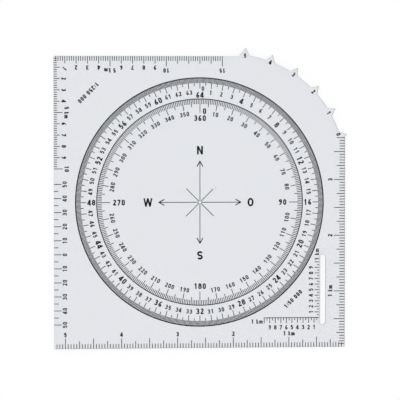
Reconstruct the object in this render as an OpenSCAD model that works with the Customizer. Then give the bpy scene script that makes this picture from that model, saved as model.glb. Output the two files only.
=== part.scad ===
// Map protractor: a clear square sheet with a mil circle, a degree circle and a compass rose,
// map scales along its edges, a coordinate scale beside a marking slot, and a toothed corner
// that is rolled along a route to step off its length.
// The markings are printed on the map side of the sheet, and a thin clear film seals them in.
// Origin: the dial's centre on the underside. +Y is north, +X is east, +Z faces the reader.

/* [Sheet] */
// Radius of the mil circle's line
dial_r = 44.3; // [38:0.1:60]
// From the mil circle to each straight edge, unless the coordinate scale needs a larger sheet
edge_band = 7.7; // [7.7:0.1:20]
// Thickness of the clear sheet
sheet_t = 0.87; // [0.3:0.01:3]
// Thickness of the film over the print
film_t = 0.1; // [0.05:0.01:0.5]
// Thickness of the ink
ink_t = 0.03; // [0.01:0.01:0.1]
// Radius of the three plain corners
corner_r = 0.3; // [0.1:0.1:0.7]

/* [Holes and slot] */
// Diameter of the thread hole in the dial's centre
thread_d = 0.8; // [0.4:0.1:0.9]
// Diameter of the hole at the end of the rose's north-east line
peg_d = 0.9; // [0.4:0.1:1.2]
// From the centre to that hole
peg_r = 7.2; // [4:0.1:12]
// Width of the marking slot
slot_w = 2; // [1.4:0.1:2.7]
// Length of the marking slot
slot_l = 25; // [23:0.1:30]
// From the sheet's right edge to the slot's far wall, where the coordinate scale starts
slot_in_x = 8.9; // [8.3:0.1:12]
// From the sheet's bottom edge to the slot
slot_in_y = 8.1; // [7.5:0.1:12]
// Radius of the slot's two corners nearest the right edge
slot_outer_r = 0.9; // [0.1:0.1:0.9]
// Radius of its two corners beside the coordinate scale
slot_scale_r = 0.4; // [0.05:0.05:0.4]

/* [Rolling corner] */
// Radius of the circle that the teeth stand on
root_r = 41.9; // [37:0.1:46]
// How far that circle would reach past the right edge
root_out_x = 0.2; // [0:0.1:1]
// How far that circle would reach past the top edge
root_out_y = 0.9; // [0:0.1:1.5]
// Height of a tooth
tooth_h = 2.45; // [1.5:0.05:3.5]
// Width of a tooth where it meets the root circle
tooth_w = 3.4; // [2.8:0.1:4.5]
// How far the last tooth's tip stands out from the right edge
tooth_out = 0.6; // [0.2:0.1:0.7]
// From the root circle in to the middle of each tooth's numeral
tooth_text_in = 0.3; // [0.2:0.1:1.5]
// Angle that sets each numeral back from its tooth towards the right edge
tooth_text_turn = 0.3; // [0:0.1:0.6]
// Angle that lifts the nought clear of the right-hand scale
nought_lift = 1.3; // [1.1:0.1:1.5]

/* [Printed lines] */
// Width of a scale mark
mark_w = 0.25; // [0.08:0.01:0.3]
// Width of the mil circle's line
mil_line_w = 0.4; // [0.1:0.01:0.5]
// Width of the degree circle's line
degree_line_w = 0.32; // [0.1:0.01:0.5]

/* [Mil circle] */
// Length of the mark at every 10 mil
mil_mark_10 = 1.85; // [1.2:0.05:2.4]
// Length of the mark at every 50 mil
mil_mark_50 = 2.8; // [2.5:0.05:3.3]
// Length of the mark at every 100 mil
mil_mark_100 = 3.8; // [3.4:0.05:4.6]

/* [Degree circle] */
// Clear space between the mil numerals and the degree circle
circle_gap = 0.35; // [0.2:0.05:2]
// Length of the mark at every degree
degree_mark_1 = 1.8; // [1.2:0.05:2.4]
// Length of the mark at every 5 degrees
degree_mark_5 = 2.8; // [2.5:0.05:3.3]
// Length of the mark at every 10 degrees
degree_mark_10 = 3.8; // [3.4:0.05:4.4]
// Length of the mark at every 90 degrees
degree_mark_90 = 4.85; // [4.5:0.05:5.5]

/* [Numerals] */
// Height of the small numerals
text_h = 1.6; // [1.2:0.05:1.7]
// Height of the bold numerals
bold_h = 2.05; // [1.8:0.05:2.4]
// Height of the sighting ruler's numerals
ruler_text_h = 1.6; // [1.2:0.05:2]
// Stroke width of the small numerals as a share of their height
stroke = 0.21; // [0.1:0.01:0.24]
// Stroke width of the bold numerals as a share of their height
bold_stroke = 0.22; // [0.1:0.01:0.24]
// Stroke width of the edge scales' and the teeth's numerals as a share of their height
edge_stroke = 0.24; // [0.1:0.01:0.24]
// From the end of a mark to its numeral
text_gap = 0.5; // [0.3:0.05:0.7]
// From the degree circle's longest marks to their numerals
cardinal_gap = 0.95; // [0.8:0.05:1.5]
// From the top degree mark sideways to its nought
nought_gap = 0.95; // [0.5:0.05:1.5]

/* [Compass rose] */
// From the centre to an arrow's point
arrow_l = 15; // [13:0.5:18]
// Length of an arrow's barbs along its shaft
barb_l = 1.9; // [1:0.1:3]
// From the shaft to the end of a barb
barb_w = 1.05; // [0.6:0.05:1.6]
// How many times as thick as its shaft a barb is
barb_thick = 1.4; // [1:0.1:1.6]
// From the centre to the end of a diagonal line
diagonal_l = 6.95; // [4:0.05:12]
// From the edge of the thread hole, or from where the lines would meet, to the start of each
rose_gap = 0.1; // [0.05:0.05:1]
// Height of the compass letters
letter_h = 3.05; // [2:0.05:4]
// Stroke width of the compass letters as a share of their height
letter_stroke = 0.21; // [0.1:0.01:0.22]
// From an arrow's point to its letter
letter_gap = 2.05; // [1:0.05:3]
// How much further from its arrow's point the lower letter stands
south_extra = 0.4; // [0:0.05:1]

/* [Scale for 1 to 250 000] */
// Length of a 200 m mark along the top edge
top_mark = 1.7; // [1:0.05:2.2]
// Length of a 200 m mark along the left edge
side_mark = 1.2; // [0.8:0.05:1.6]
// How much longer each kilometre mark is
coarse_km_extra = 0.95; // [0.5:0.05:1.2]
// How much longer still each 5 kilometre mark is
coarse_5km_extra = 1; // [0.5:0.05:1.2]
// From the end of a kilometre mark to its numeral
coarse_text_gap = 0.65; // [0.3:0.05:0.8]
// From the first kilometre marks' ends to the numeral in their corner
coarse_corner_gap = 0.9; // [0.5:0.05:1.2]
// From the left edge in to the middle of the scale's title
coarse_title_x = 12.3; // [11:0.1:14]
// From the top edge in to the middle of the scale's title
coarse_title_y = 13; // [11:0.1:14]
// Room left after the last kilometre along each edge
scale_end_gap = 5; // [4.5:0.1:7.9]

/* [Scale for 1 to 50 000] */
// Length of a 50 m mark along the bottom edge
bottom_mark = 1.6; // [1:0.05:2.2]
// Length of a 50 m mark along the right edge
right_mark = 1.85; // [1:0.05:2]
// How much longer each 250 m mark is
fine_250_extra = 1; // [0.5:0.05:1.2]
// How much longer still each 500 m mark is
fine_500_extra = 1; // [0.5:0.05:1.2]

/* [Sighting ruler] */
// From the eye to the sheet when the ruler is read, which gives the length of 1 mil
sight_distance = 500; // [350:10:700]
// From the sheet's bottom edge to the ruler's lowest mark
ruler_low_gap = 8.5; // [7.5:0.1:12]
// Length of a 5 mil mark
ruler_mark_5 = 1.6; // [1:0.05:2]
// Length of a 10 mil mark
ruler_mark_10 = 2.7; // [2.2:0.05:3.2]
// From the end of a mark to its numeral
ruler_text_gap = 0.35; // [0.1:0.05:0.6]

/* [Coordinate scale] */
// From the slot's bottom end up to the scale's zero
romer_lift = 2.4; // [1.8:0.1:4]
// Clear space between the slot and the marks beside it
romer_gap = 0.25; // [0.1:0.05:0.8]
// Least clear space between the mil circle and the label at the scale's upper end
romer_clear = 0.04; // [0.03:0.01:3]
// Length of a 50 m mark beside the slot
romer_mark_50 = 0.7; // [0.4:0.05:1]
// Length of a 100 m mark beside the slot
romer_mark_100 = 1.6; // [1.2:0.05:2]
// Length of a 50 m mark under the base line
romer_drop_50 = 0.85; // [0.4:0.05:1.2]
// Length of a 100 m mark under the base line
romer_drop_100 = 1.8; // [1.4:0.05:2]
// From the end of such a mark to its numeral
romer_low_gap = 0.85; // [0.3:0.05:1]
// From the scale's zero left to the middle of its title
fine_title_x = 9.6; // [8.5:0.1:12]
// From the scale's zero up to the middle of its title
fine_title_y = 6.7; // [5:0.1:8]

/* [Hidden] */
$fn = 48;

// What the scales measure
coarse_ratio = 250000;
fine_ratio = 50000;
coarse_km = 1e6 / coarse_ratio;
fine_km = 1e6 / fine_ratio;
mils = 6400;
mil_step = 360 * 100 / mils;
mm_per_mil = sight_distance / 1000;
ruler_reach = 50;

// Numerals and letters are drawn one unit high about their middle, with half a stroke of s
digit_w = 0.56;
digit_pitch = 0.75;
gap_pitch = 0.42;
letter_o_w = 0.72;
numeral_step = 30;
letter_step = 15;

// The label at the upper end of the coordinate scale reaches this far in from the right and
// bottom edges, and its corner stays outside the mil circle
km_label = "1 km";
km_label_x = slot_in_x + romer_gap + text_h;
km_label_y = slot_in_y + romer_lift + fine_km + mark_w / 2 + text_gap + word_w(km_label, text_h);
km_label_r = dial_r + mil_line_w / 2 + romer_clear;
romer_half = (km_label_x + km_label_y + sqrt(2 * km_label_r ^ 2 - (km_label_x - km_label_y) ^ 2)) / 2;

// The sheet and its layers
half = max(dial_r + edge_band, romer_half);
print_z = film_t;
sheet_z = film_t + ink_t;
ring_sides = 180;

// The toothed corner: one tooth to every half kilometre of the finer scale, from the right edge
// up to the root circle's top
tip_r = root_r + tooth_h;
root_in_x = root_r - root_out_x;
root_in_y = root_r - root_out_y;
root_c = [half - root_in_x, half - root_in_y];
tooth_pitch = 2 * asin(fine_km / 2 / (2 * tip_r));
tooth_start = acos((root_in_x + tooth_out) / tip_r);
root_spread = asin(tooth_w / (2 * root_r));
tooth_count = 1 + floor((90 - tooth_start - root_spread) / tooth_pitch);

// The slot
slot_x = half - slot_in_x;
slot_y = slot_in_y - half;

// The circles, from the outside inwards
mil_text_r = dial_r - mil_mark_100 - text_gap;
degree_r = mil_text_r - word_w("48", bold_h) - circle_gap - degree_line_w / 2;
degree_text_r = degree_r - degree_mark_10 - text_gap;
cardinal_r = degree_r - degree_mark_90 - cardinal_gap;

// The rose's lines start clear of the thread hole and of each other
rose_start = rose_gap + max(thread_d / 2, mark_w / 2 / tan(22.5));

function polar(r, a) = [r * cos(a), r * sin(a)];
function arc(c, r, a0, a1, step = numeral_step) =
    let (n = max(2, ceil(abs(a1 - a0) / step)))
    [for (i = [0 : n]) let (a = a0 + (a1 - a0) * i / n) c + [r.x * cos(a), r.y * sin(a)]];
function round_arc(c, r, a0, a1, step = numeral_step) = arc(c, [r, r], a0, a1, step);
function reversed(p) = [for (i = [len(p) - 1 : -1 : 0]) p[i]];
function unit(v) = v / norm(v);
function at_x(p, q, x) = p + (q - p) * (x - p.x) / (q.x - p.x);
function at_y(p, q, y) = p + (q - p) * (y - p.y) / (q.y - p.y);

// One side of a stroke along a path: side is 1 on the left and -1 on the right.
// The outside of a sharp turn gets two points in place of a long spike.
function stroke_side(path, s, side) =
    let (
        last = len(path) - 1,
        d = [for (i = [0 : last - 1]) unit(path[i + 1] - path[i])],
        n = [for (v = d) side * [-v.y, v.x]]
    )
    [for (i = [0 : last]) each
        i == 0 ? [path[0] + s * n[0]] :
        i == last ? [path[last] + s * n[last - 1]] :
        let (turn = cross(d[i - 1], d[i]) * side, bend = 1 + n[i - 1] * n[i])
        turn < 0 && bend < 0.6
            ? [path[i] + s * (n[i - 1] + 0.6 * d[i - 1]), path[i] + s * (n[i] - 0.6 * d[i])]
            : [path[i] + s * (n[i - 1] + n[i]) / bend]
    ];
function stroke_loop(path, s) = concat(stroke_side(path, s, 1), reversed(stroke_side(path, s, -1)));
function turned(loops) = [for (l = loops) -l];

// Where two circles above each other cross: the angle from the line between their centres
function meet_angle(apart, r, other_r) = acos((apart * apart + r * r - other_r * other_r) / (2 * apart * r));

function stadium(r, rise) = concat(
    round_arc([0, rise], r, 0, 180),
    round_arc([0, -rise], r, 180, 360)
);
function glyph_0(s) = let (a = digit_w / 2, rise = 0.5 - a) [stadium(a, rise), stadium(a - 2 * s, rise)];
function glyph_1(s) =
    let (x = 0.04, flag_w = 0.24, flag_h = 0.17, top = 0.8 * s)
    [[
        [x - s, -0.5],
        [x + s, -0.5],
        [x + s, 0.5],
        [x - top, 0.5],
        [x - flag_w, 0.5 - flag_h],
        [x - flag_w, 0.5 - flag_h - 2 * s],
        [x - s, 0.5 - flag_h - 2 * s + (flag_w - s) * flag_h / (flag_w - top)]
    ]];
function glyph_2(s) =
    let (a = digit_w / 2 - s, b = 0.5 - s)
    [stroke_loop(concat(round_arc([0, b - a], a, 165, -35), [[-a, -b], [digit_w / 2, -b]]), s)];
function glyph_3(s) =
    let (
        b = 0.5 - s,
        top_r = 0.47 * b,
        low_r = b - top_r,
        top_c = [-0.02, b - top_r],
        low_c = [-0.02, low_r - b],
        a_top = meet_angle(b, top_r + s, low_r + s),
        a_low = meet_angle(b, low_r + s, top_r + s),
        waist = 2 * low_r - b
    )
    [concat(
        round_arc(top_c, top_r + s, 155, a_top - 90),
        round_arc(low_c, low_r + s, 90 - a_low, -155),
        round_arc(low_c, low_r - s, -155, 90),
        [[-0.12, waist - s], [-0.12, waist + s]],
        round_arc(top_c, top_r - s, -90, 155)
    )];
function glyph_4(s) =
    let (
        x = 0.1,
        bar = -0.25,
        left = -0.33,
        right = 0.29,
        p = [x - s - 0.02, 0.5],
        q = [left, bar + s + 0.03],
        u = unit(q - p),
        shift = 2 * s * [-u.y, u.x]
    )
    [
        [
            [x - s, -0.5],
            [x + s, -0.5],
            [x + s, bar - s],
            [right, bar - s],
            [right, bar + s],
            [x + s, bar + s],
            [x + s, 0.5],
            p,
            q,
            [left, bar - s],
            [x - s, bar - s]
        ],
        [
            [x - s, bar + s],
            at_x(p + shift, q + shift, x - s),
            at_y(p + shift, q + shift, bar + s)
        ]
    ];
function glyph_5(s) =
    let (a = digit_w / 2 - s, b = 0.5 - s, top = 0.12, bowl = (top + b) / 2)
    [stroke_loop(concat(
        [[a, b], [-0.14, b], [-0.165, top - 0.085]],
        arc([-0.01, top - bowl], [a + 0.01, bowl], 120, -150)
    ), s)];
function glyph_6(s) =
    let (
        b = 0.5 - s,
        bowl = digit_w / 2 - s,
        c = [0, bowl - b],
        tail_h = 2 * b - bowl,
        tail_x = max(0.09, sqrt(1.2 * s * tail_h) - bowl),
        tail = arc([tail_x, c.y], [tail_x + bowl, tail_h], 180, 78, 12),
        inner = [for (p = stroke_side(tail, s, -1)) if (norm(p - c) > bowl + s + 0.01) p],
        foot = inner[0] - c
    )
    [
        concat(
            round_arc(c, bowl + s, atan2(foot.y, foot.x) - 5, -180),
            stroke_side(tail, s, 1),
            reversed(inner)
        ),
        round_arc(c, bowl - s, 0, 360 - numeral_step)
    ];
function glyph_7(s) =
    let (left = -0.27, right = 0.28, foot = -0.1, g = 1.08 * s, lean = (right - foot - g) / (1 - 1.8 * s))
    [[
        [left, 0.5],
        [right, 0.5],
        [right, 0.5 - 1.8 * s],
        [foot + g, -0.5],
        [foot - g, -0.5],
        [foot - g + lean * (1 - 2 * s), 0.5 - 2 * s],
        [left, 0.5 - 2 * s]
    ]];
function glyph_8(s) =
    let (
        b = 0.5 - s,
        top_r = 0.47 * b,
        low_r = b - top_r,
        top_c = [0, b - top_r],
        low_c = [0, low_r - b],
        a_top = meet_angle(b, top_r + s, low_r + s),
        a_low = meet_angle(b, low_r + s, top_r + s)
    )
    [
        concat(
            round_arc(low_c, low_r + s, 90 + a_low, 450 - a_low),
            round_arc(top_c, top_r + s, a_top - 90, 270 - a_top)
        ),
        round_arc(low_c, low_r - s, 0, 360 - numeral_step),
        round_arc(top_c, top_r - s, 0, 360 - numeral_step)
    ];
function glyph_colon(s) = [for (y = [-0.2, 0.2]) round_arc([0, y], 1.1 * s, 0, 315, 45)];
function glyph_k(s) =
    let (left = -0.24, stem = left + 2 * s, x_height = 0.2, crotch = max(stem + 0.02, 0.24 - 2.6 * s))
    [[
        [left, -0.5],
        [stem, -0.5],
        [stem, -0.27],
        [stem + 0.07, -0.2],
        [crotch, -0.5],
        [0.26, -0.5],
        [0.03, -0.04],
        [0.24, x_height],
        [crotch, x_height],
        [stem, -0.07],
        [stem, 0.5],
        [left, 0.5]
    ]];
function glyph_m(s) =
    let (w = 0.78, top = 0.2, notch = (w / 2 - 3 * s) / 2, y = top - 2 * s - notch, x = s + notch, r = 0.16)
    [concat(
        [[-w / 2, -0.5], [2 * s - w / 2, -0.5]],
        round_arc([-x, y], notch, 180, 0, 30),
        [[-s, -0.5], [s, -0.5]],
        round_arc([x, y], notch, 180, 0, 30),
        [[w / 2 - 2 * s, -0.5], [w / 2, -0.5]],
        round_arc([w / 2 - r, top - r], r, 0, 90, 30),
        [[-w / 2, top]]
    )];
function glyph_n(s) =
    let (x = 0.35, q = 4 * s)
    [[
        [-x, -0.5],
        [2 * s - x, -0.5],
        [2 * s - x, 0.5 - q],
        [x - 2 * s, -0.5],
        [x, -0.5],
        [x, 0.5],
        [x - 2 * s, 0.5],
        [x - 2 * s, q - 0.5],
        [2 * s - x, 0.5],
        [-x, 0.5]
    ]];
function glyph_s(s) =
    let (a = 0.33 - s, b = 0.5 - s)
    [stroke_loop(concat(
        arc([0, b / 2], [a, b / 2], 20, 260, letter_step),
        arc([0, -b / 2], [a, b / 2], 80, -160, letter_step)
    ), s)];
function glyph_w(s) =
    let (x = 0.53, foot = 0.24, w = 1.75 * s, v = 1 - (x - foot - w) / (x - foot - w / 2))
    [[
        [-x, 0.5],
        [-foot - w / 2, -0.5],
        [-foot + w / 2, -0.5],
        [0, 0.5 - v],
        [foot - w / 2, -0.5],
        [foot + w / 2, -0.5],
        [x, 0.5],
        [x - w, 0.5],
        [foot, v - 0.5],
        [w / 2, 0.5],
        [-w / 2, 0.5],
        [-foot, v - 0.5],
        [w - x, 0.5]
    ]];
function glyph_o(s) =
    let (r = [letter_o_w / 2, 0.5], last = 360 - letter_step)
    [arc([0, 0], r, 0, last, letter_step), arc([0, 0], r - 2 * s * [1, 1], 0, last, letter_step)];

function glyph(c, s) =
    c == "0" ? glyph_0(s) :
    c == "1" ? glyph_1(s) :
    c == "2" ? glyph_2(s) :
    c == "3" ? glyph_3(s) :
    c == "4" ? glyph_4(s) :
    c == "5" ? glyph_5(s) :
    c == "6" ? glyph_6(s) :
    c == "7" ? glyph_7(s) :
    c == "8" ? glyph_8(s) :
    c == "9" ? turned(glyph_6(s)) :
    c == "k" ? glyph_k(s) :
    c == "m" ? glyph_m(s) :
    c == "N" ? glyph_n(s) :
    c == "S" ? glyph_s(s) :
    c == "W" ? glyph_w(s) :
    c == "O" ? glyph_o(s) :
    glyph_colon(s);
function advance(c) =
    c == " " || c == ":" ? gap_pitch :
    c == "k" ? 0.66 :
    c == "m" ? 0.9 :
    digit_pitch;
function room(txt, n) = n == 0 ? 0 : room(txt, n - 1) + advance(txt[n - 1]);
function word_w(txt, h) = h * (room(txt, len(txt)) - digit_pitch + digit_w);
function spaced(ratio) = str("1:", ratio / 1000, " 000");

// Fills the first loop and leaves the others open
module shape(loops) {
    starts = [for (i = 0, n = 0; i < len(loops); n = n + len(loops[i]), i = i + 1) n];
    polygon(
        [for (l = loops) each l],
        [for (i = [0 : len(loops) - 1]) [for (j = [0 : len(loops[i]) - 1]) starts[i] + j]]
    );
}

module word(txt, h, share = stroke) {
    for (i = [0 : len(txt) - 1])
        if (txt[i] != " ")
            translate([h * (room(txt, i) + (advance(txt[i]) - room(txt, len(txt))) / 2), 0])
                shape([for (l = glyph(txt[i], share / 2)) h * l]);
}

module ink() {
    color("#18181c")
        translate([0, 0, print_z])
            linear_extrude(ink_t)
                children();
}

// A label on a circle, its outer side at radius r: upright at the four cardinal bearings,
// and elsewhere with its top outwards in the upper half and inwards in the lower half
module ring_label(txt, bearing, r, h, share = stroke) {
    upright = bearing % 90 == 0;
    reach = upright && bearing % 180 != 0 ? word_w(txt, h) / 2 : h / 2;
    turn = upright ? 0 : bearing > 90 && bearing < 270 ? 180 - bearing : -bearing;
    translate(polar(r - reach, 90 - bearing))
        rotate(turn)
            word(txt, h, share);
}

// A circle's line with a fine mark inwards at every step, as one outline
module comb_ring(r, line_w, count, mark_l) {
    inner_r = r - line_w / 2;
    end_r = r - mark_l;
    inner_half = asin(mark_w / (2 * inner_r));
    end_half = asin(mark_w / (2 * end_r));
    shape([
        [for (i = [0 : ring_sides - 1]) polar(r + line_w / 2, 360 * i / ring_sides)],
        [for (i = [0 : count - 1]) let (a = 360 * i / count) each [
            polar(inner_r, a - inner_half),
            polar(end_r, a - end_half),
            polar(end_r, a + end_half),
            polar(inner_r, a + inner_half)
        ]]
    ]);
}

// A radial mark at a compass bearing, between two radii
module spoke(bearing, outer_r, inner_r) {
    rotate(-bearing)
        translate([-mark_w / 2, inner_r])
            square([mark_w, outer_r - inner_r]);
}

// Marks that start at the sheet's edge, at a distance along it: the children set the edge
module edge_mark(along, length) {
    translate([along - mark_w / 2, 0])
        square([mark_w, length]);
}

// The four edges, each with its scale's zero at the origin, its marks along +X and inwards +Y
module on_top_edge() {
    translate([-half, half]) mirror([0, 1]) children();
}
module on_left_edge() {
    translate([-half, half]) rotate(-90) children();
}
module on_bottom_edge() {
    translate([half, -half]) mirror([1, 0]) children();
}
module on_right_edge() {
    translate([half, -half]) rotate(90) children();
}

// The sheet's outline, anticlockwise from where the last tooth leaves the right edge
function tooth_a(i) = tooth_start + i * tooth_pitch;
function tip(i) = root_c + polar(tip_r, tooth_a(i));
function root(i, side) = root_c + polar(root_r, tooth_a(i) + side * root_spread);
last_tooth = tooth_count - 1;
edge_foot = at_x(tip(0), root(0, -1), half);
top_foot = at_y(tip(last_tooth), root(last_tooth, 1), half);
toothed_corner = concat([edge_foot], [for (i = [0 : last_tooth]) each concat(
    [tip(i)],
    i == last_tooth
        ? [top_foot]
        : round_arc(root_c, root_r, tooth_a(i) + root_spread, tooth_a(i + 1) - root_spread, 1.5)
)]);
corner_c = half - corner_r;
outline = concat(
    toothed_corner,
    round_arc([-corner_c, corner_c], corner_r, 90, 180),
    round_arc([-corner_c, -corner_c], corner_r, 180, 270),
    round_arc([corner_c, -corner_c], corner_r, 270, 360)
);
slot = concat(
    round_arc([slot_x + slot_w - slot_outer_r, slot_y + slot_l - slot_outer_r], slot_outer_r, 0, 90, 10),
    round_arc([slot_x + slot_scale_r, slot_y + slot_l - slot_scale_r], slot_scale_r, 90, 180),
    round_arc([slot_x + slot_scale_r, slot_y + slot_scale_r], slot_scale_r, 180, 270),
    round_arc([slot_x + slot_w - slot_outer_r, slot_y + slot_outer_r], slot_outer_r, 270, 360, 10)
);

module layer(z, t) {
    translate([0, 0, z])
        linear_extrude(t)
            difference() {
                shape([outline, slot]);
                circle(d = thread_d);
                translate(polar(peg_r, 45))
                    circle(d = peg_d);
            }
}

module base_sheet() {
    color([0.9, 0.91, 0.94, 0.45])
        layer(sheet_z, sheet_t);
}

module cover_film() {
    color([0.94, 0.95, 0.97, 0.4])
        layer(0, film_t);
}

module mil_ring() {
    ink()
        comb_ring(dial_r, mil_line_w, mils / 10, mil_mark_10);
}

// The longer marks carry on from the ends of the ring's fine ones
module mil_marks_50() {
    ink()
        for (k = [0.5 : mils / 100])
            spoke(k * mil_step, dial_r - mil_mark_10, dial_r - mil_mark_50);
}

module mil_marks_100() {
    ink()
        for (k = [1 : mils / 100])
            spoke(k * mil_step, dial_r - mil_mark_10, dial_r - mil_mark_100);
}

module mil_numbers() {
    ink() {
        for (k = [1 : mils / 100])
            if (k % 4 != 0)
                ring_label(str(k), k * mil_step, mil_text_r, text_h);
        // A nought beside the top mark, which is labelled 64 below
        translate([mark_w / 2 + text_gap + digit_w * text_h / 2, dial_r - mil_mark_100])
            word("0", text_h);
    }
}

// Every fourth number is bold, and the top one sits low to leave room for the nought
module mil_numbers_bold() {
    ink()
        for (k = [4 : 4 : mils / 100])
            ring_label(
                str(k),
                k * mil_step % 360,
                k == mils / 100 ? degree_r + degree_line_w / 2 + text_gap / 2 + bold_h : mil_text_r,
                bold_h,
                bold_stroke
            );
}

module degree_ring() {
    ink()
        comb_ring(degree_r, degree_line_w, 360, degree_mark_1);
}

module degree_marks_5() {
    ink()
        for (a = [5 : 10 : 355])
            spoke(a, degree_r - degree_mark_1, degree_r - degree_mark_5);
}

module degree_marks_10() {
    ink()
        for (a = [10 : 10 : 360])
            spoke(a, degree_r - degree_mark_1, degree_r - (a % 90 == 0 ? degree_mark_90 : degree_mark_10));
}

module degree_numbers() {
    ink()
        for (a = [10 : 10 : 350])
            if (a % 90 != 0)
                ring_label(str(a), a, degree_text_r, text_h);
}

module degree_numbers_bold() {
    ink() {
        for (a = [90 : 90 : 360])
            ring_label(str(a), a % 360, cardinal_r, bold_h, bold_stroke);
        translate([mark_w / 2 + nought_gap + digit_w * bold_h / 2, cardinal_r + cardinal_gap + bold_h / 4])
            word("0", bold_h, bold_stroke);
    }
}

// One arrow, drawn round its shaft and its two barbs
module arrow() {
    s = barb_thick * mark_w / 2;
    spike = s * norm([barb_w, barb_l]) / barb_w;
    head = [[-barb_w, arrow_l - spike - barb_l], [0, arrow_l - spike], [barb_w, arrow_l - spike - barb_l]];
    inner = stroke_side(head, s, -1);
    shape([concat(
        [[-mark_w / 2, rose_start], [mark_w / 2, rose_start], at_x(inner[1], inner[2], mark_w / 2), inner[2]],
        reversed(stroke_side(head, s, 1)),
        [inner[0], at_x(inner[1], inner[0], -mark_w / 2)]
    )]);
}

module rose_arrows() {
    ink()
        for (a = [0 : 90 : 270])
            rotate(a)
                arrow();
}

// The north-east line ends at the wall of its hole
module rose_diagonals() {
    ink()
        for (a = [45 : 90 : 315])
            spoke(a, a == 45 ? peg_r - peg_d / 2 - rose_gap : diagonal_l, rose_start);
}

module rose_letters() {
    near = arrow_l + letter_gap;
    ink() {
        translate([0, near + letter_h / 2])
            word("N", letter_h, letter_stroke);
        translate([near + letter_o_w * letter_h / 2, 0])
            word("O", letter_h, letter_stroke);
        translate([0, -near - south_extra - letter_h / 2])
            word("S", letter_h, letter_stroke);
        translate([-near - letter_h / 2, 0])
            word("W", letter_h, letter_stroke);
    }
}

// The coarse scale runs along the top and down the left from their common corner
top_kms = floor((top_foot.x + half - scale_end_gap) / coarse_km);
ruler_l = 2 * ruler_reach * mm_per_mil;
left_kms = floor((2 * half - ruler_low_gap - ruler_l - scale_end_gap) / coarse_km);
per_km = 5;
function coarse_length(i, base) =
    base + (i % per_km == 0 ? coarse_km_extra : 0) + (i % (5 * per_km) == 0 ? coarse_5km_extra : 0);

module coarse_marks(kms, base) {
    for (i = [1 : kms * per_km])
        edge_mark(i * coarse_km / per_km, coarse_length(i, base));
}

module coarse_scale_marks() {
    ink() {
        on_top_edge()
            coarse_marks(top_kms, top_mark);
        on_left_edge()
            coarse_marks(left_kms, side_mark);
    }
}

function coarse_text(k) = k == 5 ? "5 km" : str(k);

// The two edges share one numeral in their corner, turned to face it.
// Past 10, the top edge has only every fifth number.
module coarse_scale_numbers() {
    shared = coarse_corner_gap + text_h * norm([digit_w, 1]) / 2;
    ink() {
        translate([
            coarse_length(per_km, side_mark) + shared - half,
            half - coarse_length(per_km, top_mark) - shared
        ])
            rotate(225)
                word("1", text_h, edge_stroke);
        for (k = [2 : top_kms])
            if (k <= 10 || k % 5 == 0)
                translate([
                    k * coarse_km - half,
                    half - coarse_length(k * per_km, top_mark) - coarse_text_gap - text_h / 2
                ])
                    rotate(180)
                        word(coarse_text(k), text_h, edge_stroke);
        for (k = [2 : left_kms])
            translate([
                coarse_length(k * per_km, side_mark) + coarse_text_gap + text_h / 2 - half,
                half - k * coarse_km
            ])
                rotate(-90)
                    word(coarse_text(k), text_h, edge_stroke);
    }
}

module coarse_scale_title() {
    ink()
        translate([coarse_title_x - half, half - coarse_title_y])
            rotate(225)
                word(spaced(coarse_ratio), text_h, edge_stroke);
}

// The fine scale runs along the bottom and up the right from their common corner
fine_per_km = 20;
fine_step = fine_km / fine_per_km;
bottom_steps = ceil(2 * half / fine_step) - 1;
right_steps = floor((edge_foot.y + half) / fine_step);
function fine_length(i, base) =
    base
    + (i % (fine_per_km / 4) == 0 ? fine_250_extra : 0)
    + (i % (fine_per_km / 2) == 0 ? fine_500_extra : 0);
function km_text(k) = k == 1 ? km_label : str(k);

module fine_marks(steps, base) {
    for (i = [1 : steps])
        edge_mark(i * fine_step, fine_length(i, base));
}

module fine_scale_marks() {
    ink() {
        on_bottom_edge()
            fine_marks(bottom_steps, bottom_mark);
        on_right_edge()
            fine_marks(right_steps, right_mark);
    }
}

module fine_scale_numbers() {
    ink() {
        for (k = [1 : floor(bottom_steps / fine_per_km)])
            translate([
                half - k * fine_km,
                fine_length(fine_per_km * k, bottom_mark) + text_gap + text_h / 2 - half
            ])
                word(km_text(k), text_h, edge_stroke);
        for (k = [1 : floor(right_steps / fine_per_km)])
            translate([
                half - fine_length(fine_per_km * k, right_mark) - text_gap - text_h / 2,
                k * fine_km - half
            ])
                rotate(90)
                    word(km_text(k), text_h, edge_stroke);
    }
}

// The sighting ruler is read at arm's length and counts mils both ways from its middle
ruler_y = ruler_low_gap + ruler_l / 2 - half;

module sighting_ruler_marks() {
    ink()
        for (m = [-ruler_reach : 5 : ruler_reach])
            translate([-half, ruler_y + m * mm_per_mil - mark_w / 2])
                square([m % 10 == 0 ? ruler_mark_10 : ruler_mark_5, mark_w]);
}

module sighting_ruler_numbers() {
    ink()
        for (m = [-ruler_reach : 10 : ruler_reach])
            translate([ruler_mark_10 + ruler_text_gap + ruler_text_h / 2 - half, ruler_y + m * mm_per_mil])
                rotate(90)
                    word(str(abs(m)), ruler_text_h);
}

// The coordinate scale: its zero is at the slot's left wall
romer_y = slot_y + romer_lift;
romer_count = 10;
romer_step = fine_km / romer_count;
romer_x = slot_x - romer_gap;
romer_text_x = romer_x - romer_mark_100 - text_gap - text_h / 2;
romer_text_y = romer_y - romer_drop_100 - romer_low_gap - text_h / 2;

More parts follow.
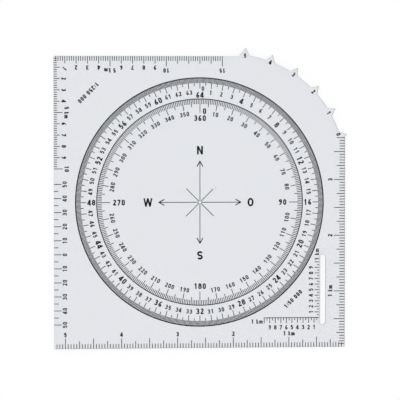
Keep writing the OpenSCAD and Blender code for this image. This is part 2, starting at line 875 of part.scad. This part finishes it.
module romer_marks() {
    ink() {
        for (i = [1 : 2 * romer_count])
            translate([romer_x, romer_y + i * romer_step / 2 - mark_w / 2])
                mirror([1, 0])
                    square([i % 2 == 0 ? romer_mark_100 : romer_mark_50, mark_w]);
        translate([slot_x - fine_km - mark_w / 2, romer_y - mark_w / 2])
            square([fine_km - romer_gap + mark_w / 2, mark_w]);
        for (i = [1 : 2 * romer_count])
            translate([slot_x - i * romer_step / 2 - mark_w / 2, romer_y - mark_w / 2])
                mirror([0, 1])
                    square([mark_w, i % 2 == 0 ? romer_drop_100 : romer_drop_50]);
    }
}

module romer_numbers() {
    ink() {
        for (i = [1 : romer_count - 1]) {
            translate([romer_text_x, romer_y + i * romer_step])
                rotate(90)
                    word(str(i), text_h);
            translate([slot_x - i * romer_step, romer_text_y])
                word(str(i), text_h);
        }
        translate([
            romer_x - text_h / 2,
            romer_y + fine_km + mark_w / 2 + text_gap + word_w(km_label, text_h) / 2
        ])
            rotate(90)
                word(km_label, text_h);
        translate([
            slot_x - fine_km - mark_w / 2 - text_gap - word_w(km_label, text_h) / 2,
            romer_y - text_h / 2 - text_gap
        ])
            word(km_label, text_h);
    }
}

module fine_scale_title() {
    ink()
        translate([slot_x - fine_title_x, romer_y + fine_title_y])
            rotate(45)
                word(spaced(fine_ratio), text_h, edge_stroke);
}

// Each tooth's numeral stands with its top outwards, just inside the root circle
module rolling_edge_numbers() {
    ink()
        for (i = [0 : last_tooth]) {
            a = tooth_a(i) - tooth_text_turn + (i == 0 ? nought_lift : 0);
            translate(root_c + polar(root_r - tooth_text_in, a))
                rotate(a - 90)
                    word(str(i), text_h, edge_stroke);
        }
}

base_sheet();
cover_film();
mil_ring();
mil_marks_50();
mil_marks_100();
mil_numbers();
mil_numbers_bold();
degree_ring();
degree_marks_5();
degree_marks_10();
degree_numbers();
degree_numbers_bold();
rose_arrows();
rose_diagonals();
rose_letters();
coarse_scale_marks();
coarse_scale_numbers();
coarse_scale_title();
fine_scale_marks();
fine_scale_numbers();
fine_scale_title();
sighting_ruler_marks();
sighting_ruler_numbers();
romer_marks();
romer_numbers();
rolling_edge_numbers();
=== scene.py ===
"""A clear map protractor on a white table, seen from above as in the photograph."""

from math import radians

import bpy
from mathutils import Matrix, Vector


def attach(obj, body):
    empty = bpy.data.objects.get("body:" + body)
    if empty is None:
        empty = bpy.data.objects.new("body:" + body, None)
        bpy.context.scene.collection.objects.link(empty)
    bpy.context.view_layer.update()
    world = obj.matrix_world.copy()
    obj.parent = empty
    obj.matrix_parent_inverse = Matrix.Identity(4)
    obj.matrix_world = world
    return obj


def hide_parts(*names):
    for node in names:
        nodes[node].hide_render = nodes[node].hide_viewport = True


MM = 0.001

# The stack, measured up from the map: film, print, sheet
BELOW_PRINT = 0.05 * MM
ABOVE_PRINT = 0.2 * MM
HAIR = 0.005 * MM  # keeps two glued faces from sharing a plane

# The sheet's cut edge
EDGE_BREAK = 0.04 * MM
LEVEL_FACE = 0.5  # the least upward share of a level face's normal
FROST_AND_SHADE = 0.92  # how much of the edge's look is its dark tone: the blade's frosting and painted shade

# The table and the room
TABLE_SIZE = 6.0
TABLE_DROP = 0.02 * MM
EVEN_WHITE = 0.82  # how much of the table's look is its own even white
ROOM_LIGHT = 0.82
LAMP_SIZE = (1.2, 0.9)
LAMP_WATTS = 7.5
LAMP_PLACE = Vector((-0.7, 0.8, 1.3))

# The camera, placed by matching the sheet's corners in the photograph
LENS = 201.9
CAMERA_PLACE = Vector((-66.69, 33.07, 796.53)) * MM
CAMERA_TARGET = Vector((0.03, 0.81, 0)) * MM

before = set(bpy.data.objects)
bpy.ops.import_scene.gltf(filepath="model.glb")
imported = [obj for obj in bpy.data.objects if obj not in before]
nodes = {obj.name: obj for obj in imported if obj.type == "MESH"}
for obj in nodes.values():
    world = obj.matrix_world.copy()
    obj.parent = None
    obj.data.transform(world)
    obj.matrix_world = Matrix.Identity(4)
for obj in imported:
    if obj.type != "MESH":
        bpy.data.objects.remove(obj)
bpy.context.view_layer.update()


# Shader help


def srgb(code):
    """A hex colour as the linear values that Blender's sockets take."""
    parts = [int(code[i : i + 2], 16) / 255 for i in (1, 3, 5)]
    return [p / 12.92 if p <= 0.04045 else ((p + 0.055) / 1.055) ** 2.4 for p in parts] + [1.0]


def add(tree, kind, inputs=None, **settings):
    """Adds a node with its settings. Each input takes a value, or a socket that is linked to it."""
    node = tree.nodes.new(kind)
    for key, value in settings.items():
        setattr(node, key, value)
    for key, value in (inputs or {}).items():
        if isinstance(value, bpy.types.NodeSocket):
            tree.links.new(value, node.inputs[key])
        else:
            node.inputs[key].default_value = value
    return node


def new_material(name):
    """An empty node material and its node tree."""
    material = bpy.data.materials.new(name)
    material.use_nodes = True
    material.node_tree.nodes.clear()
    return material, material.node_tree


def show(tree, surface, kind="ShaderNodeOutputMaterial"):
    """Sends a shader to a material's output, or to the world's."""
    add(tree, kind, {"Surface": surface})


def reckon(tree, operation, *terms):
    """One sum on numbers and sockets, as a socket."""
    return add(tree, "ShaderNodeMath", dict(enumerate(terms)), operation=operation).outputs["Value"]


def mix(tree, share, first, second):
    """The first shader where the share is 0, and the second where it is 1."""
    return add(tree, "ShaderNodeMixShader", {0: share, 1: first, 2: second}).outputs["Shader"]


def own_place(tree):
    """The place of a point in the object's own metres."""
    return add(tree, "ShaderNodeTexCoord").outputs["Object"]


def noise(tree, place, scale, detail):
    """Soft noise from 0 to 1."""
    inputs = {"Vector": place, "Scale": scale, "Detail": detail}
    return add(tree, "ShaderNodeTexNoise", inputs).outputs["Fac"]


def relief(tree, height, strength, depth):
    """The normal of a face with a fine relief, whose height from 0 to 1 is this deep."""
    inputs = {"Height": height, "Strength": strength, "Distance": depth}
    return add(tree, "ShaderNodeBump", inputs).outputs["Normal"]


def stretch(tree, value, from_range, to_range):
    """A value carried from one range to another, and held at its ends."""
    inputs = {
        "Value": value,
        "From Min": from_range[0],
        "From Max": from_range[1],
        "To Min": to_range[0],
        "To Max": to_range[1],
    }
    return add(tree, "ShaderNodeMapRange", inputs).outputs["Result"]


def two_tones(tree, factor, stops):
    """A ramp between two colours, each given with its place along the ramp."""
    ramp = add(tree, "ShaderNodeValToRGB", {"Fac": factor})
    for element, (place, colour) in zip(ramp.color_ramp.elements, stops.items()):
        element.position = place
        element.color = srgb(colour)
    return ramp.outputs["Color"]


def height_of(tree, vector):
    """The upward share of a place or a direction."""
    return add(tree, "ShaderNodeSeparateXYZ", {"Vector": vector}).outputs["Z"]


def seen_share(tree):
    """1 for what the camera sees, also in a mirror or through glass, and 0 for what lights
    the scene."""
    path = add(tree, "ShaderNodeLightPath")
    seen = path.outputs["Is Camera Ray"]
    for ray in ("Is Glossy Ray", "Is Transmission Ray"):
        seen = reckon(tree, "MAXIMUM", seen, path.outputs[ray])
    return seen


def gloss_share(tree, mask):
    """How much a smooth plastic face mirrors: 4 percent seen straight on, and more the flatter
    it is seen. It is the same from both sides, so light that comes up through the face passes.
    The mask keeps it off faces that are glued down."""
    straight_on = 0.04
    facing = add(tree, "ShaderNodeLayerWeight", {"Blend": 0.5}).outputs["Facing"]
    steep = reckon(tree, "POWER", facing, 5.0)
    share = reckon(tree, "MULTIPLY_ADD", steep, 1 - straight_on, straight_on)
    return reckon(tree, "MULTIPLY", share, mask)


def clear_face(tree, tint, mirror, outer_face):
    """A clear face: it tints what is seen through it, and mirrors where it isn't glued down."""
    tinted = add(tree, "ShaderNodeBsdfTransparent", {"Color": srgb(tint)})
    mirroring = add(tree, "ShaderNodeBsdfGlossy", {"Color": srgb("#ffffff"), **mirror})
    share = gloss_share(tree, outer_face)
    show(tree, mix(tree, share, tinted.outputs["BSDF"], mirroring.outputs["BSDF"]))


# Materials


def clear_sheet_material():
    """Calendered clear PVC, 1 mm thick: colourless, with a faint cool grey where it lies on
    white, and glossy. The upper face mirrors the room more and more as it is seen flatter."""
    material, tree = new_material("clear_calendered_pvc")
    place = own_place(tree)
    # The calender rolls leave a very slight waviness, about 12 mm from crest to crest
    waviness = noise(tree, place, scale=80.0, detail=1.0)
    # Handling haze: fine wipes that dull the mirror in patches
    haze = noise(tree, place, scale=140.0, detail=6.0)
    mirror = {
        "Roughness": stretch(tree, haze, (0.35, 0.75), (0.05, 0.14)),
        "Normal": relief(tree, waviness, strength=0.15, depth=0.02 * MM),
    }
    # The lower face is glued to the print, so it mirrors nothing
    outer_face = reckon(tree, "GREATER_THAN", height_of(tree, place), ABOVE_PRINT)
    clear_face(tree, "#f9fafb", mirror, outer_face)
    return material


def cut_edge_material():
    """The sheet's die-cut edge: the same PVC, but frosted by the blade, with fine marks across its
    thickness. Its dark greys are partly that frosting and partly painted shade, standing in for the
    dark line that refraction and shade give a cut edge, so it reads as a thin dark grey line from
    above."""
    material, tree = new_material("die_cut_pvc_edge")
    # Blade marks 0.25 mm apart, drawn out along the thickness
    drawn_out = {"Vector": own_place(tree), "Scale": (4000.0, 4000.0, 300.0)}
    place = add(tree, "ShaderNodeMapping", drawn_out).outputs["Vector"]
    marks = noise(tree, place, scale=1.0, detail=3.0)
    # Dark greys: the blade's frosting, deepened with painted shade for the dark line along cut
    # walls and hole rims
    frosted_and_shaded = add(
        tree,
        "ShaderNodeBsdfPrincipled",
        {
            "Base Color": two_tones(tree, marks, {0.3: "#2b2e35", 0.7: "#5c6068"}),
            "Roughness": 0.45,
            "IOR": 1.53,
            "Normal": relief(tree, marks, strength=0.4, depth=0.02 * MM),
        },
    )
    clear = add(tree, "ShaderNodeBsdfTransparent", {"Color": srgb("#d8dae0")})
    show(tree, mix(tree, FROST_AND_SHADE, clear.outputs["BSDF"], frosted_and_shaded.outputs["BSDF"]))
    return material


def seal_film_material():
    """The clear polyester film that seals the print: thinner and a little more matt than the
    sheet, with the fine grain of a film that has to slide over paper."""
    material, tree = new_material("satin_polyester_film")
    place = own_place(tree)
    # Grain of 0.3 mm, coarser than the real film's, so that it shows in a close view
    grain = noise(tree, place, scale=3300.0, detail=2.0)
    mirror = {
        "Roughness": 0.28,
        "Normal": relief(tree, grain, strength=0.25, depth=0.01 * MM),
    }
    # Only the face on the map mirrors: the other is glued to the print
    outer_face = reckon(tree, "LESS_THAN", height_of(tree, place), BELOW_PRINT)
    clear_face(tree, "#fdfdfe", mirror, outer_face)
    return material


def ink_material(name, dark, light):
    """Screen-printed black ink: dense and matt, with slight clouds where the squeegee left
    less of it, and a fine mesh-like tooth on its face. It is bonded to the clear plastic on
    both sides, so it has hardly any shine of its own."""
    material, tree = new_material(name)
    place = own_place(tree)
    clouds = noise(tree, place, scale=900.0, detail=4.0)
    # The screen's mesh, 0.1 mm from thread to thread
    mesh = add(tree, "ShaderNodeTexVoronoi", {"Vector": place, "Scale": 10000.0})
    ink = add(
        tree,
        "ShaderNodeBsdfPrincipled",
        {
            "Base Color": two_tones(tree, clouds, {0.35: dark, 0.75: light}),
            "Roughness": 0.62,
            "IOR": 1.5,
            "Specular IOR Level": 0.1,
            "Normal": relief(tree, mesh.outputs["Distance"], strength=0.2, depth=0.005 * MM),
        },
    )
    show(tree, ink.outputs["BSDF"])
    return material


# Pieces


def only_select(piece):
    """Selects one piece alone and makes it the active one."""
    bpy.ops.object.select_all(action="DESELECT")
    piece.select_set(True)
    bpy.context.view_layer.objects.active = piece


def copy_of(node, name):
    """A copy of a CAD solid as one skin: its triangles merged, its flat faces whole again."""
    only_select(nodes[node])
    bpy.ops.object.duplicate()
    piece = bpy.context.object
    piece.name = name
    piece.data.name = name
    bpy.ops.object.mode_set(mode="EDIT")
    bpy.ops.mesh.select_all(action="SELECT")
    bpy.ops.mesh.remove_doubles(threshold=0.002 * MM)
    bpy.ops.mesh.dissolve_limited(angle_limit=radians(0.5))
    bpy.ops.object.mode_set(mode="OBJECT")
    return piece


def shift_level(piece, level, rise):
    """Moves the corners that lie at a height, by a hair, so that no two faces share a plane."""
    only_select(piece)
    bpy.ops.object.mode_set(mode="EDIT")
    bpy.ops.mesh.select_all(action="DESELECT")
    bpy.ops.object.mode_set(mode="OBJECT")
    for corner in piece.data.vertices:
        corner.select = abs(corner.co.z - level) < 0.01 * MM
    bpy.ops.object.mode_set(mode="EDIT")
    bpy.ops.transform.translate(value=(0, 0, rise))
    bpy.ops.object.mode_set(mode="OBJECT")


def dress(piece, *materials):
    """Gives a piece these materials in place of its own."""
    piece.data.materials.clear()
    for material in materials:
        piece.data.materials.append(material)


def make_sheet():
    """The clear sheet, its cut edges just broken so that they catch the light."""
    sheet = copy_of("base_sheet", "clear_sheet")
    low = min(corner.co.z for corner in sheet.data.vertices)
    shift_level(sheet, low, HAIR)
    edge_break = sheet.modifiers.new("edge_break", "BEVEL")
    edge_break.width = EDGE_BREAK
    edge_break.segments = 2
    edge_break.limit_method = "ANGLE"
    edge_break.angle_limit = radians(80)
    edge_break.use_clamp_overlap = False
    edge_break.loop_slide = False
    only_select(sheet)
    bpy.ops.object.modifier_apply(modifier=edge_break.name)
    dress(sheet, clear_sheet_material(), cut_edge_material())
    for face in sheet.data.polygons:
        face.material_index = 1 if abs(face.normal.z) < LEVEL_FACE else 0
    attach(sheet, "root")
    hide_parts("base_sheet")


def make_film():
    """The film under the print."""
    film = copy_of("cover_film", "seal_film")
    high = max(corner.co.z for corner in film.data.vertices)
    shift_level(film, high, -HAIR)
    dress(film, seal_film_material())
    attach(film, "root")
    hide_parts("cover_film")


def ink_the_print():
    """Every deposit of ink keeps its CAD shape. Bold figures lie a little denser than marks."""
    fine = ink_material("screen_ink_fine", "#141418", "#25252b")
    bold = ink_material("screen_ink_bold", "#0e0e12", "#1c1c21")
    for name, node in nodes.items():
        if name not in ("base_sheet", "cover_film"):
            dress(node, bold if "bold" in name or "letters" in name else fine)


# Table, light and camera


def lay_table():
    """A plain white table top that fills the view. Four fifths of what the camera sees of it
    is its own even white, and the rest is lit, with the protractor's faint shadow."""
    bpy.ops.mesh.primitive_plane_add(size=TABLE_SIZE, location=(0, 0, -TABLE_DROP))
    table = bpy.context.object
    table.name = "table_top"
    material, tree = new_material("white_table_laminate")
    seen = seen_share(tree)
    tones = {"Factor": seen, "A": srgb("#e9e9ea"), "B": srgb("#ffffff")}
    white = add(tree, "ShaderNodeMix", tones, data_type="RGBA")
    laminate = add(tree, "ShaderNodeBsdfDiffuse", {"Color": white.outputs["Result"]})
    even_white = add(tree, "ShaderNodeEmission", {"Color": srgb("#ffffff"), "Strength": 1.0})
    share = reckon(tree, "MULTIPLY", seen, EVEN_WHITE)
    show(tree, mix(tree, share, laminate.outputs["BSDF"], even_white.outputs["Emission"]))
    dress(table, material)


def light_room():
    """A white room with one large soft lamp, high on the left behind the table. Only the patch
    of ceiling over the camera is dark, and it shows in what a level face mirrors straight up."""
    world = bpy.data.worlds.new("white_room")
    bpy.context.scene.world = world
    world.use_nodes = True
    tree = world.node_tree
    tree.nodes.clear()
    room = add(tree, "ShaderNodeBackground", {"Color": srgb("#ffffff"), "Strength": ROOM_LIGHT})
    # White up to 59 degrees above the horizon, and dark from 70 degrees on
    rise = height_of(tree, add(tree, "ShaderNodeTexCoord").outputs["Generated"])
    ceiling = stretch(tree, rise, (0.86, 0.94), (1.0, 0.08))
    backdrop = add(tree, "ShaderNodeBackground", {"Color": srgb("#ffffff"), "Strength": ceiling})
    both = mix(
        tree, seen_share(tree), room.outputs["Background"], backdrop.outputs["Background"]
    )
    show(tree, both, "ShaderNodeOutputWorld")

    lamp_data = bpy.data.lights.new("softbox", "AREA")
    lamp_data.shape = "RECTANGLE"
    lamp_data.size, lamp_data.size_y = LAMP_SIZE
    lamp_data.energy = LAMP_WATTS
    lamp = bpy.data.objects.new("softbox", lamp_data)
    bpy.context.collection.objects.link(lamp)
    stand_at(lamp, LAMP_PLACE, Vector((0, 0, 0)))


def stand_at(thing, place, target):
    """Puts a lamp or camera at a place, looking at a target, with north up in its picture."""
    back = (place - target).normalized()
    right = Vector((0, 1, 0)).cross(back).normalized()
    up = back.cross(right)
    turn = Matrix((right, up, back)).transposed().to_4x4()
    thing.matrix_world = Matrix.Translation(place) @ turn


def set_camera():
    """The photograph looks almost straight down, from a little to the left and north."""
    camera_data = bpy.data.cameras.new("photo_camera")
    camera_data.sensor_width = 36
    camera_data.lens = LENS
    camera = bpy.data.objects.new("photo_camera", camera_data)
    bpy.context.collection.objects.link(camera)
    stand_at(camera, CAMERA_PLACE, CAMERA_TARGET)
    bpy.context.scene.camera = camera


set_camera()
make_sheet()
make_film()
ink_the_print()
lay_table()
light_room()
bpy.context.scene.view_settings.view_transform = "Standard"
